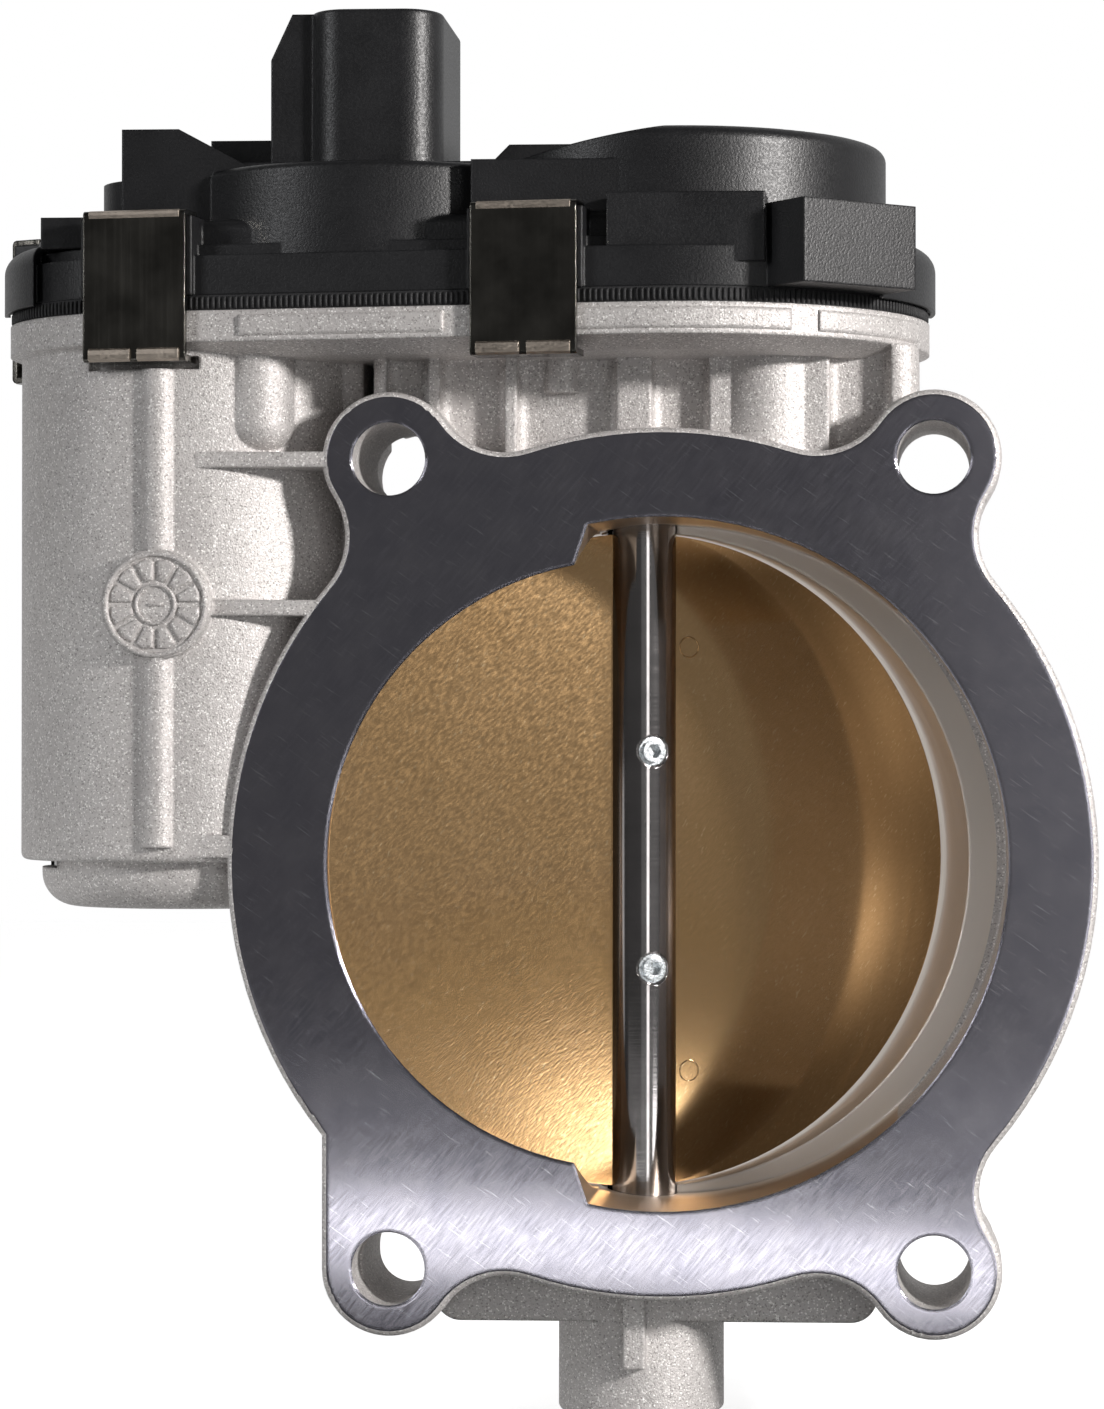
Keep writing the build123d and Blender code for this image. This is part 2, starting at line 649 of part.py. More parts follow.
def motor_brush_holder():
    inner = CAN_R - CAN_WALL
    holder = tube(inner, 4.0, 58.8, CAN_TOP_Z, MOTOR)
    guide = block(COMMUTATOR_R + 1.5, inner - 0.7, -3.2, 3.2, 50.5, 59)
    hollow = block(COMMUTATOR_R, inner + 1, -1.8, 1.8, 52, 56)
    for turn in (90, 270):
        holder += place(*MOTOR, 0, turn) * guide
        holder -= place(*MOTOR, 0, turn) * hollow
    return holder


def motor_mounting_plate():
    ears = [Pos(*point) * Circle(3.6) for point in motor_screw_points()]
    plan = make_hull((Sketch() + ears).edges() + (Pos(*MOTOR) * Circle(CAN_R)).edges())
    plate = upright(plan, TRAY_FLOOR_Z, TRAY_FLOOR_Z + 1.8)
    boss = tube(CASING_BORE_R - 0.2, 4.0, CAN_TOP_Z, TRAY_FLOOR_Z + 0.1, MOTOR)
    boss += tube(5.5, 4.0, TRAY_FLOOR_Z, CAN_TOP_Z + 5.5 + 0.8, MOTOR)
    plate += boss
    plate -= column(4.0, CAN_TOP_Z - 1, CAN_TOP_Z + 5.5, MOTOR)
    plate -= column(MOTOR_SHAFT_R + 0.4, 50, 80, MOTOR)
    for point in motor_screw_points():
        plate -= column(1.7, 60, 80, point)
    return plate


def pan_screw(at, z_seat, length, r=1.6, head_r=3.0):
    """A pan head screw pointing down from its seat."""
    screw = column(r, z_seat - length, z_seat + 0.1, at) + column(head_r, z_seat, z_seat + 1.9, at)
    recess = Pos(*at, z_seat + 0.9) * extrude(RegularPolygon(1.3, 6), 2)
    return screw - recess


def motor_screws():
    seat = TRAY_FLOOR_Z + 1.8
    return Compound(children=[pan_screw(at, seat, 10.0) for at in motor_screw_points()])


# --- gear train ------------------------------------------------------------

def motor_pinion():
    plan = gear_plan(PINION_TEETH, FIRST_MODULE, PINION_ANGLE + 180 + 180 / PINION_TEETH)
    gear = upright(plan, LARGE_Z - 0.8, LARGE_Z + LARGE_T + 0.2)
    gear += column(3.6, LARGE_Z - 4.5, LARGE_Z, (0, 0))
    gear -= column(MOTOR_SHAFT_R, 60, 100, (0, 0))
    return Pos(*MOTOR) * gear


def intermediate_gear():
    large = upright(gear_plan(LARGE_TEETH, FIRST_MODULE, PINION_ANGLE), LARGE_Z, LARGE_Z + LARGE_T)
    web = tube(20.5, 8.5, LARGE_Z + LARGE_T - 1.4, LARGE_Z + LARGE_T + 1, (0, 0))
    small_first = IDLER_ANGLE + 180 + 180 / SMALL_TEETH
    small = upright(gear_plan(SMALL_TEETH, SECOND_MODULE, small_first), SECTOR_Z - 0.6, LARGE_Z + 0.2)
    gear = large - web + small + column(4.6, TRAY_FLOOR_Z + 0.6, SECTOR_Z, (0, 0))
    return Pos(*IDLER) * (gear - column(PIN_R + 0.05, 60, 100, (0, 0)))


def intermediate_gear_pin():
    return column(PIN_R, PIN_BOTTOM_Z, LEFT_DOME_Z - 1.2, IDLER)


def sector_gear():
    step = 360 / SECTOR_TEETH
    first = IDLER_ANGLE - 11 * step
    top = SECTOR_Z + SECTOR_T
    wedge = upright(gear_plan(SECTOR_TEETH, SECOND_MODULE, first, only=17), SECTOR_Z, top)
    window = tube(21.5, 12.5, SECTOR_Z + 1.4, top + 1, (0, 0))
    keep = upright(gear_plan(SECTOR_TEETH, SECOND_MODULE * 0.9, first + step, only=15), SECTOR_Z, top + 1)
    gear = wedge - (window & keep)
    gear += column(11.0, SECTOR_Z, top, (0, 0)) + column(7.9, top - 0.1, LARGE_Z + LARGE_T, (0, 0))
    gear += block(-3.0, 3.0, -LUG_R - 2.2, -8, SECTOR_Z, top)
    gear += block(-2.0, 2.0, -LUG_R - 2.2, -LUG_R + 2.2, 68.4, SECTOR_Z + 0.1)
    gear -= column(GEAR_SEAT_R, 60, 100, (0, 0)) + column(7.0, top + 1.2, 100, (0, 0))
    return Pos(*SHAFT) * gear


def sector_gear_insert():
    return tube(9.0, GEAR_SEAT_R, GEAR_SEAT_Z, SECTOR_Z)


def shaft_nut():
    seat = SECTOR_Z + SECTOR_T + 1.2
    nut = Pos(*SHAFT, seat) * extrude(RegularPolygon(6.4, 6), 3.0)
    return nut - column(GEAR_SEAT_R, seat - 1, seat + 5)


def sensor_magnet():
    top = LARGE_Z + LARGE_T
    ring = tube(7.0, 5.4, top - 4.6, top)
    return ring - block(BORE_X - 8, BORE_X + 8, SHAFT_Y - 0.4, SHAFT_Y + 0.4, 60, 100)


def return_spring():
    coil = Helix(pitch=1.75, height=6.1, radius=11.3)
    wire = Plane(origin=coil @ 0, z_dir=coil % 0) * Circle(0.62)
    return place(*SHAFT, WELL_FLOOR_Z + 0.9) * sweep(wire, path=coil, is_frenet=True)


# --- cover group -----------------------------------------------------------

def clip_places():
    """The point on the case's rim, and the outward angle, of each cover clip."""
    lean = degrees(atan2(CASE_A[1] - CASE_B[1], CASE_A[0] - CASE_B[0]))
    span = sqrt((CASE_A[0] - CASE_B[0]) ** 2 + (CASE_A[1] - CASE_B[1]) ** 2)
    spread = degrees(acos((CASE_B_R - CASE_A_R) / span))
    places = []
    for angle, share in zip((lean - spread, lean + spread), CLIP_SHARES):
        a = polar(CASE_A_R, angle, CASE_A)
        b = polar(CASE_B_R, angle, CASE_B)
        places.append((a[0] + share * (b[0] - a[0]), a[1] + share * (b[1] - a[1]), angle))
    for angle in CLIP_ANGLES_B:
        places.append((*polar(CASE_B_R, angle, CASE_B), angle))
    places.append((*polar(CASE_A_R, CLIP_ANGLE_A, CASE_A), CLIP_ANGLE_A))
    return places


def clip_pads(z0, z1, reach, back):
    """Blocks under the clips, in from the rim by `back` and out by `reach`."""
    half = CLIP_W / 2 + CLIP_PAD_GAP
    pad = block(-back, reach, -half, half, z0, z1)
    return [place(x, y, 0, angle) * pad for x, y, angle in clip_places()]


def cover_clips():
    inside = 0.35
    top = MOTOR_TOP_Z
    half = CLIP_W / 2
    plate = block(inside, inside + CLIP_T, -half, half, RIM_UNDER_Z - 0.9, top + CLIP_T)
    fold = block(-3.4, inside + CLIP_T, -half, half, top + 0.02, top + CLIP_T)
    hook = block(-CLIP_HOOK, inside + CLIP_T, -half, half, RIM_UNDER_Z - 0.9, RIM_UNDER_Z - 0.1)
    clip = plate + fold + hook
    outer = clip.edges().filter_by(Axis.Y).group_by(Axis.X)[-1]
    clip = fillet(outer, 0.7)
    return Compound(children=[place(x, y, 0, a) * clip for x, y, a in clip_places()])


def cover_seal():
    return upright(case_plan(0.4), RIM_TOP_Z, COVER_Z) - upright(case_plan(2.8), RIM_TOP_Z - 1, 80)


def rounded_top(body, r):
    """Round the edges of a body's top face."""
    return fillet(body.faces().sort_by(Axis.Z)[-1].outer_wire().edges(), r)


def socket_plan(width, depth, r):
    return Pos(CONNECTOR_X, CONNECTOR_Y) * RectangleRounded(width, depth, r)


def cover_shoulders():
    """Lobes at the cover's ends that overhang the rim."""
    shoulders = Part()
    for at, r, sector in (
        (CASE_B, CASE_B_R, block(-95, -82.5, 2, 20.5, 60, 100)),
        (CASE_A, CASE_A_R, block(28.0, 40, 2, 28, 60, 100)),
    ):
        lobe = column(r + SHOULDER_OVERHANG, COVER_Z - 0.4, SHOULDER_TOP_Z, at)
        lobe -= column(r + 0.1, COVER_Z - 1, COVER_Z, at)
        shoulders += rounded_top(lobe, 3.0) & sector
    return shoulders


def cover_outside():
    """The cover's solid outer shape, from its band up to its domes."""
    body = upright(case_plan(0.5), COVER_Z, BAND_TOP_Z)
    body += upright(case_plan(2.0), BAND_TOP_Z - 0.1, BAND_TOP_Z + 1.5)
    deck = upright(case_plan(3.6), BAND_TOP_Z, MOTOR_TOP_Z)
    body += rounded_top(deck, 1.6)
    body += rounded_top(column(LEFT_DOME_R, BAND_TOP_Z, LEFT_DOME_Z, LEFT_DOME), 1.0)
    body += block(*BRIDGE_X, BRIDGE_FRONT_Y, 46, BAND_TOP_Z, LEFT_DOME_Z - 0.1)
    dome = rounded_top(column(RIGHT_DOME_R, BAND_TOP_Z, RIGHT_DOME_Z, CASE_A), 1.6)
    slope = Rot(0, -9, 0) * block(-40, 0, -60, 60, 0, 20)
    body += dome - Pos(1.0, CASE_A[1], RIGHT_DOME_Z) * slope
    body += block(*PLATFORM_X, PLATFORM_FRONT_Y, 6, BAND_TOP_Z - 2, PLATFORM_TOP_Z)
    body += column(MOTOR_CAP_R, 80, MOTOR_CAP_Z, MOTOR)
    x0, x1, x2 = SLANT_X
    slant = Polyline(
        (x0, 80), (x0, SLANT_TOP_Z), (x1, SLANT_TOP_Z), (x2, SLANT_TOP_Z - SLANT_FALL), (x2, 80),
        close=True,
    )
    body += along_bore(make_face(slant), *SLANT_Y)
    body += block(*REAR_BLOCK_X, *REAR_BLOCK_Y, LEFT_DOME_Z - 2, REAR_BLOCK_TOP_Z)
    x0, x1, x2 = REAR_RAMP_X
    z0, z1, z2 = REAR_RAMP_Z
    ramp = Polyline((x0, z0), (x0, z1), (x1, z2), (x2, z2), (x2, z0), close=True)
    body += along_bore(make_face(ramp), *REAR_RAMP_Y)
    body += block(-81.5, -76, 5.6, 24, 80, MOTOR_TOP_Z + 0.9)
    for pad in clip_pads(COVER_Z, MOTOR_TOP_Z, 0.3, 8.0):
        body += pad
    post = block(*POST_R, -POST_HALF_W, POST_HALF_W, COVER_Z, POST_TOP_Z)
    return body + place(*CASE_A, 0, POST_ANGLE) * post + cover_shoulders()


def cover_inside():
    hollow = upright(case_plan(3.0), COVER_Z - 1, BAND_TOP_Z + 0.2)
    hollow += upright(case_plan(5.8), BAND_TOP_Z, MOTOR_TOP_Z - COVER_WALL)
    hollow += column(LEFT_DOME_R - 1.5, BAND_TOP_Z, LEFT_DOME_Z - COVER_WALL, LEFT_DOME)
    hollow += column(RIGHT_DOME_R - COVER_WALL, BAND_TOP_Z, 90.8, CASE_A)
    hollow += column(6.9, BAND_TOP_Z, 88.4, MOTOR)
    return hollow


def connector_tower():
    root_z = LEFT_DOME_Z - 1
    plan = socket_plan(CONNECTOR_W, CONNECTOR_D, CONNECTOR_CORNER_R)
    tower = rounded_top(upright(plan, root_z, CONNECTOR_TOP_Z), 0.5)
    left, shoulder = KEY_X
    low, high = KEY_TOP_Z
    key = Polyline(
        (CONNECTOR_X, root_z), (CONNECTOR_X, high), (shoulder, high), (left, low), (left, root_z),
        close=True,
    )
    tower += along_bore(make_face(key), *KEY_Y)
    tower += upright(socket_plan(CONNECTOR_W + 22, CONNECTOR_D - 4, 3.0), root_z, CONNECTOR_BASE_Z)
    inset = 2 * CONNECTOR_WALL
    socket = socket_plan(
        CONNECTOR_W - inset, CONNECTOR_D - inset, CONNECTOR_CORNER_R - CONNECTOR_WALL
    )
    return tower - upright(socket, SOCKET_FLOOR_Z, CONNECTOR_TOP_Z + 1)


def connector_pin_points():
    """The plan points of the connector's terminals."""
    return [
        (CONNECTOR_X + (column_no - 0.5) * 5.0, CONNECTOR_Y + (row - 1) * 5.5)
        for column_no in range(PIN_ROWS) for row in range(PIN_COLUMNS)
    ]


def pin_blades():
    half = 0.5
    return [
        block(x - half, x + half, y - half, y + half, LEFT_DOME_Z - 0.7, 107)
        for x, y in connector_pin_points()
    ]


def gear_cover():
    body = cover_outside() + connector_tower() - cover_inside()
    spigot = upright(case_plan(3.2), RIM_TOP_Z - 1.5, COVER_Z + 0.1)
    spigot += upright(case_plan(2.4), COVER_Z, COVER_Z + 0.5)
    body += spigot - upright(case_plan(4.4), 60, 80)
    body -= column(PIN_R, 80, LEFT_DOME_Z - 1.2, IDLER)
    for pin in pin_blades():
        body -= pin
    return body


def connector_pins():
    return Compound(children=pin_blades())


def sensor_board():
    return block(-15, 20, 7, 37, 89.2, 90.8)


def sensor_chip():
    return block(BORE_X - 2.2, BORE_X + 2.2, SHAFT_Y - 0.9, SHAFT_Y + 0.9, 84.8, 89.2)


PARTS = {
    "throttle_housing": throttle_housing,
    "throttle_plate": throttle_plate,
    "throttle_shaft": throttle_shaft,
    "plate_screws": plate_screws,
    "lower_bearing_outer_race": lower_bearing_outer_race,
    "lower_bearing_inner_race": lower_bearing_inner_race,
    "lower_bearing_balls": lower_bearing_balls,
    "lower_bearing_cage": lower_bearing_cage,
    "upper_bearing_shell": upper_bearing_shell,
    "upper_bearing_needles": upper_bearing_needles,
    "upper_shaft_seal": lambda: shaft_seal(SEAL_Z),
    "lower_shaft_seal": lambda: shaft_seal(-SEAL_Z - SEAL_T),
    "shaft_retaining_ring": shaft_retaining_ring,
    "lower_end_plug": lower_end_plug,
    "motor_can": motor_can,
    "motor_wave_washer": motor_wave_washer,
    "motor_rear_bush": motor_rear_bush,
    "motor_front_bush": motor_front_bush,
    "motor_magnets": motor_magnets,
    "motor_armature": motor_armature,
    "motor_windings": motor_windings,
    "motor_commutator": motor_commutator,
    "motor_shaft": motor_shaft,
    "motor_brushes": motor_brushes,
    "motor_brush_springs": motor_brush_springs,
    "motor_brush_holder": motor_brush_holder,
    "motor_mounting_plate": motor_mounting_plate,
    "motor_screws": motor_screws,
    "motor_pinion": motor_pinion,
    "intermediate_gear": intermediate_gear,
    "intermediate_gear_pin": intermediate_gear_pin,
    "sector_gear": sector_gear,
    "sector_gear_insert": sector_gear_insert,
    "shaft_nut": shaft_nut,
    "sensor_magnet": sensor_magnet,
    "return_spring": return_spring,
    "gear_cover": gear_cover,
    "cover_seal": cover_seal,
    "cover_clips": cover_clips,
    "connector_pins": connector_pins,
    "sensor_board": sensor_board,
    "sensor_chip": sensor_chip,
}

os.makedirs("parts", exist_ok=True)
for name, make in PARTS.items():
    export_step(make(), f"parts/{name}.step")
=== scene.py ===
from math import acos, atan2, cos, pi, radians, sin, sqrt

import bmesh
import bpy
from mathutils import Matrix, Quaternion, Vector


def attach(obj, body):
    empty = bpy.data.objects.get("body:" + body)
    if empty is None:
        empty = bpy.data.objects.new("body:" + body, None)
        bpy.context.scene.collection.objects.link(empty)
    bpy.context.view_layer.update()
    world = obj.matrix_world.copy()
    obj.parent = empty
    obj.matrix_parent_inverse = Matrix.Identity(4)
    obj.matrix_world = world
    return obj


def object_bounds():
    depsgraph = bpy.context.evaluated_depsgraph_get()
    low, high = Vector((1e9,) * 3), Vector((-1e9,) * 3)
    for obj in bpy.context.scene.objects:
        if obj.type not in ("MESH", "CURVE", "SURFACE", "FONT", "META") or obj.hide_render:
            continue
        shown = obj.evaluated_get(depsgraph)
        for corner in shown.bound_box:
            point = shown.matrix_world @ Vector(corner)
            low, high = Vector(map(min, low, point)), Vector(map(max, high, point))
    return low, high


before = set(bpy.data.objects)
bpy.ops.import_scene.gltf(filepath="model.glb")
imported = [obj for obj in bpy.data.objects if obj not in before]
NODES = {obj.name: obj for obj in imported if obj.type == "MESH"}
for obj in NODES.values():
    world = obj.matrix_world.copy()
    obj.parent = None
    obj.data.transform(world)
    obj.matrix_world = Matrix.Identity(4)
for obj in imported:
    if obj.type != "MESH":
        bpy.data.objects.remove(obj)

CAD_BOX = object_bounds()
MM = 0.001

# Places in the CAD frame, in millimetres
BORE_X = -4.0
SHAFT_Y = 22.0
REST_ANGLE = 25.0
FLANGE_LEFT_X = -60.5
CASE_A = (2.0, 22.0)
CASE_A_R = 32.4
CASE_B = (-63.5, 24.0)
CASE_B_R = 25.5
RIM_Z = (67.0, 71.0)
SEAL_Z = (71.0, 73.0)
CLIP_W = 13.8
CLIP_FACE = 1.15
CLIP_EDGE_INSET = 0.8
CLIP_BOTTOM_Z = 64.5
CLIP_TOP_Z = 84.0
CLIP_LIP_Z = 0.9
CLIP_LIP_GAP = 0.5
DISC_X = -65.0
DISC_Z = 33.3
DISC_FRONT_Y = -1.2
DISC_FIELDS = 12
DISC_FIELD_H = 0.3
DISC_BAR_HALF = 0.9
SEAL_RIB_HALF = (0.18, 0.8)
SEAL_RIB_H = 0.3
SEAL_RIB_PITCH = 0.75
SEAL_RIB_INSET = 0.42
PLATE_HALF_T = 1.0
PUNCH_X = 6.4
PUNCH_Z = 28.3
PUNCH_R = 1.35

# Where the casting is machined, the flange face and the bore, and the band of the bore painted
# brighter as painted light, in millimetres
FACE_BAND_Y = (-0.03, 0.03)
MACHINED_BORE_R = 47.3
MACHINED_BORE_Y = (0.05, 69)
LIT_BAND_Y = (14, 20)

# How far the foot of a raised detail goes below the surface that it stands on
SINK = 0.1


class Look:
    """A node-based material on the Principled shader, with textures sized in millimetres."""

    def __init__(self, name, colour, metallic, roughness):
        self.material = bpy.data.materials.new(name)
        self.material.use_nodes = True
        self.tree = self.material.node_tree
        self.shader = self.tree.nodes["Principled BSDF"]
        self.feed("Base Color", (*colour, 1.0))
        self.feed("Metallic", metallic)
        self.feed("Roughness", roughness)

    def feed(self, socket, value):
        """Set one of the shader's sockets to a value, or link it to an output."""
        if isinstance(socket, str):
            socket = self.shader.inputs[socket]
        if isinstance(value, bpy.types.NodeSocket):
            self.tree.links.new(value, socket)
        else:
            socket.default_value = value

    def add(self, kind, inputs, out, **settings):
        """Add a node, fill its inputs, and return one of its outputs."""
        node = self.tree.nodes.new(kind)
        for name, value in settings.items():
            setattr(node, name, value)
        for key, value in inputs.items():
            self.feed(node.inputs[key], value)
        return node.outputs[out]

    def points(self, stretch=(1, 1, 1), turn=(0, 0, 0)):
        """The object's own coordinates in millimetres, drawn out along turned axes."""
        place = self.add("ShaderNodeTexCoord", {}, "Object")
        inputs = {"Vector": place, "Scale": [s * MM for s in stretch], "Rotation": turn}
        return self.add("ShaderNodeMapping", inputs, "Vector", vector_type="TEXTURE")

    def noise(self, size, detail=2.0, stretch=(1, 1, 1), turn=(0, 0, 0)):
        """Cloudy noise from 0 to 1, with features of about that size."""
        inputs = {"Vector": self.points(stretch, turn), "Scale": 1 / size, "Detail": detail}
        return self.add("ShaderNodeTexNoise", inputs, "Fac")

    def cells(self, size):
        """A random value from 0 to 1 for each small cell of about that size."""
        inputs = {"Vector": self.points(), "Scale": 1 / size}
        colour = self.add("ShaderNodeTexVoronoi", inputs, "Color")
        return self.add("ShaderNodeSeparateColor", {"Color": colour}, "Red")

    def level(self, value, low, high, to_low=0.0, to_high=1.0):
        """Carry a value from one range to another, held within it."""
        inputs = {
            "Value": value, "From Min": low, "From Max": high,
            "To Min": to_low, "To Max": to_high,
        }
        return self.add("ShaderNodeMapRange", inputs, "Result")

    def math(self, operation, a, b=0.0):
        return self.add("ShaderNodeMath", {0: a, 1: b}, 0, operation=operation)

    def mix(self, factor, a, b):
        """A colour, or a grey value, between a and b."""
        pair = [(*c, 1.0) if isinstance(c, tuple) else c for c in (a, b)]
        inputs = {"Fac": factor, "Color1": pair[0], "Color2": pair[1]}
        return self.add("ShaderNodeMixRGB", inputs, "Color")

    def blend(self, factor, a, b):
        """A value between a and b."""
        return self.add("ShaderNodeMix", {0: factor, 2: a, 3: b}, 0)

    def bump(self, height, depth, under=None):
        """Raise the surface by up to a depth in millimetres."""
        inputs = {"Height": height, "Distance": depth * MM}
        if under is not None:
            inputs["Normal"] = under
        normal = self.add("ShaderNodeBump", inputs, "Normal")
        self.feed("Normal", normal)
        return normal

    def rounded(self, radius):
        """Normals that round every edge by a radius in millimetres."""
        return self.add("ShaderNodeBevel", {"Radius": radius * MM}, "Normal", samples=6)

    def axis(self, name):
        """One of the object's own coordinates, in millimetres."""
        return self.add("ShaderNodeSeparateXYZ", {"Vector": self.points()}, name)

    def facing(self, name):
        """One part of the surface's true direction, from -1 to 1."""
        normal = self.add("ShaderNodeNewGeometry", {}, "True Normal")
        return self.add("ShaderNodeSeparateXYZ", {"Vector": normal}, name)

    def between(self, value, low, high):
        """1 where a value lies between two limits, and 0 elsewhere."""
        above = self.math("GREATER_THAN", value, low)
        below = self.math("LESS_THAN", value, high)
        return self.math("MULTIPLY", above, below)

    def radius_about_bore(self):
        """The distance from the bore's axis, in millimetres."""
        across = self.math("SUBTRACT", self.axis("X"), BORE_X)
        up = self.axis("Z")
        across_squared = self.math("MULTIPLY", across, across)
        up_squared = self.math("MULTIPLY", up, up)
        return self.math("SQRT", self.math("ADD", across_squared, up_squared))


# --- materials ---------------------------------------------------------------

def cast_aluminium():
    """Cast alloy, with a machined flange face and bore, painted glints, a painted gold reflection
    in the bore and a painted light band in it.
    """
    look = Look("cast_aluminium", (0.6, 0.57, 0.55), 0.8, 0.5)
    on_face = look.math("MULTIPLY", look.between(look.axis("Y"), *FACE_BAND_Y),
                        look.math("GREATER_THAN", look.axis("X"), FLANGE_LEFT_X))
    facing_engine = look.math("LESS_THAN", look.facing("Y"), -0.9)
    face = look.math("MULTIPLY", on_face, facing_engine)
    inside = look.math("LESS_THAN", look.radius_about_bore(), MACHINED_BORE_R)
    bore = look.math("MULTIPLY", inside, look.between(look.axis("Y"), *MACHINED_BORE_Y))
    machined = look.math("MAXIMUM", face, bore)

    grain = look.noise(0.5, 2.0)
    pits = look.noise(0.22, 1.0)
    patches = look.noise(14, 3.0)
    speck = look.cells(0.19)
    patch = look.level(patches, 0.3, 0.7)
    cast_colour = look.mix(patch, (0.55, 0.525, 0.515), (0.62, 0.595, 0.58))
    # Bright specks are painted glints; dark specks are darker grain
    cast_colour = look.mix(look.level(speck, 0.85, 0.95), cast_colour, (0.92, 0.90, 0.88))
    cast_colour = look.mix(look.level(speck, 0.15, 0.05), cast_colour, (0.36, 0.34, 0.33))
    cast_rough = look.level(pits, 0.3, 0.7, 0.52, 0.68)

    cut = look.noise(0.3, 3.0, (14, 1, 1), (0, radians(35), 0))
    cross_cut = look.noise(0.35, 2.0, (9, 1, 1), (0, radians(-50), 0))
    stain = look.noise(5, 4.0)
    face_colour = look.mix(look.level(stain, 0.3, 0.75), (0.37, 0.36, 0.415), (0.45, 0.435, 0.485))
    face_colour = look.mix(look.level(cut, 0.62, 0.72), face_colour, (0.60, 0.59, 0.64))
    face_rough = look.level(cross_cut, 0.3, 0.7, 0.13, 0.22)
    turned = look.noise(0.35, 2.0, (60, 1, 60))
    # The bore's warm gold-brown tone is a painted reflection of the gold plate; its lighter and
    # darker rings are turning marks
    turned_marks_and_gold_reflection_colour = look.mix(look.level(turned, 0.3, 0.7), (0.50, 0.39, 0.29), (0.62, 0.50, 0.38))
    # A pale cream band deeper in the bore: painted light on the bore wall
    painted_lit_band = look.level(look.axis("Y"), *LIT_BAND_Y)
    bore_colour = look.mix(painted_lit_band, turned_marks_and_gold_reflection_colour, (0.92, 0.84, 0.76))

    machined_colour = look.mix(bore, face_colour, bore_colour)
    machined_rough = look.blend(bore, face_rough, look.level(turned, 0.3, 0.7, 0.36, 0.50))
    look.feed("Base Color", look.mix(machined, cast_colour, machined_colour))
    look.feed("Roughness", look.blend(machined, cast_rough, machined_rough))
    look.feed("Metallic", look.blend(machined, 0.45, 1.0))

    cast_height = look.math("ADD", look.math("MULTIPLY", grain, 0.7), pits)
    cut_height = look.math("MULTIPLY", look.math("ADD", cut, cross_cut), 0.012)
    cut_height = look.blend(bore, cut_height, look.math("MULTIPLY", turned, 0.05))
    height = look.blend(machined, cast_height, cut_height)
    look.bump(height, 0.07, look.rounded(0.7))
    return look


def gold_plate():
    """Gold chromated throttle plate, finely scratched along one diagonal."""
    look = Look("gold_plate", (0.62, 0.46, 0.25), 1.0, 0.28)
    brushed = look.noise(0.3, 3.0, (1, 1, 18), (0, radians(52), 0))
    scratch = look.noise(0.22, 1.0, (1, 1, 40), (0, radians(38), 0))
    cloud = look.noise(16, 4.0)
    colour = look.mix(look.level(cloud, 0.3, 0.7), (0.55, 0.345, 0.165), (0.60, 0.385, 0.195))
    streaks = look.level(brushed, 0.35, 0.65, 0.0, 0.45)
    colour = look.mix(streaks, colour, (0.48, 0.30, 0.135))
    mark = look.level(scratch, 0.66, 0.73)
    look.feed("Base Color", look.mix(look.math("MULTIPLY", mark, 0.5), colour, (0.80, 0.62, 0.38)))
    smooth_half = look.level(look.axis("X"), -10, -2)
    look.feed("Roughness", look.blend(smooth_half, look.level(brushed, 0.3, 0.7, 0.12, 0.2), 0.12))
    depth = look.blend(smooth_half, 1.0, 0.1)
    look.bump(look.math("MULTIPLY", brushed, depth), 0.01, look.rounded(0.25))
    return look


def turned_steel(name, colour, roughness, line=0.3):
    """Ground steel with fine rings about an upright axis."""
    look = Look(name, colour, 1.0, roughness)
    rings = look.noise(line, 2.0, (80, 80, 1))
    haze = look.noise(5, 3.0)
    darker = tuple(c * 0.8 for c in colour)
    look.feed("Base Color", look.mix(look.level(haze, 0.3, 0.7), darker, colour))
    look.feed("Roughness", look.level(rings, 0.3, 0.7, roughness * 0.8, roughness * 1.3))
    look.bump(rings, 0.004, look.rounded(0.15))
    return look


def plain_metal(name, colour, roughness, grain=0.3, depth=0.008):
    """Metal with faint blotches and a fine grain."""
    look = Look(name, colour, 1.0, roughness)
    haze = look.noise(2.5, 3.0)
    fine = look.noise(grain, 2.0)
    darker = tuple(c * 0.75 for c in colour)
    look.feed("Base Color", look.mix(look.level(haze, 0.3, 0.7), darker, colour))
    look.feed("Roughness", look.level(fine, 0.3, 0.7, roughness * 0.75, roughness * 1.3))
    look.bump(fine, depth, look.rounded(0.12))
    return look


def moulded(name, colour, roughness, grain=0.35, depth=0.03, rounding=0.35):
    """Moulded plastic or rubber with a fine grain."""
    look = Look(name, colour, 0.0, roughness)
    fine = look.noise(grain, 2.0)
    cloud = look.noise(8, 3.0)
    lighter = tuple(min(1.0, c * 1.5 + 0.004) for c in colour)
    look.feed("Base Color", look.mix(look.level(cloud, 0.3, 0.7), colour, lighter))
    look.feed("Roughness", look.level(fine, 0.3, 0.7, roughness * 0.85, roughness * 1.2))
    look.bump(fine, depth, look.rounded(rounding))
    return look


def clip_steel():
    """Dark polished spring steel with faint upright rolling marks."""
    look = Look("clip_steel", (0.33, 0.31, 0.28), 1.0, 0.14)
    rolled = look.noise(0.5, 3.0, (1, 1, 40))
    film = look.noise(5, 4.0)
    film_share = look.level(film, 0.35, 0.7)
    look.feed("Base Color", look.mix(film_share, (0.10, 0.095, 0.085), (0.20, 0.19, 0.17)))
    look.feed("Roughness", look.level(rolled, 0.3, 0.7, 0.08, 0.22))
    look.bump(rolled, 0.006, look.rounded(0.3))
    return look


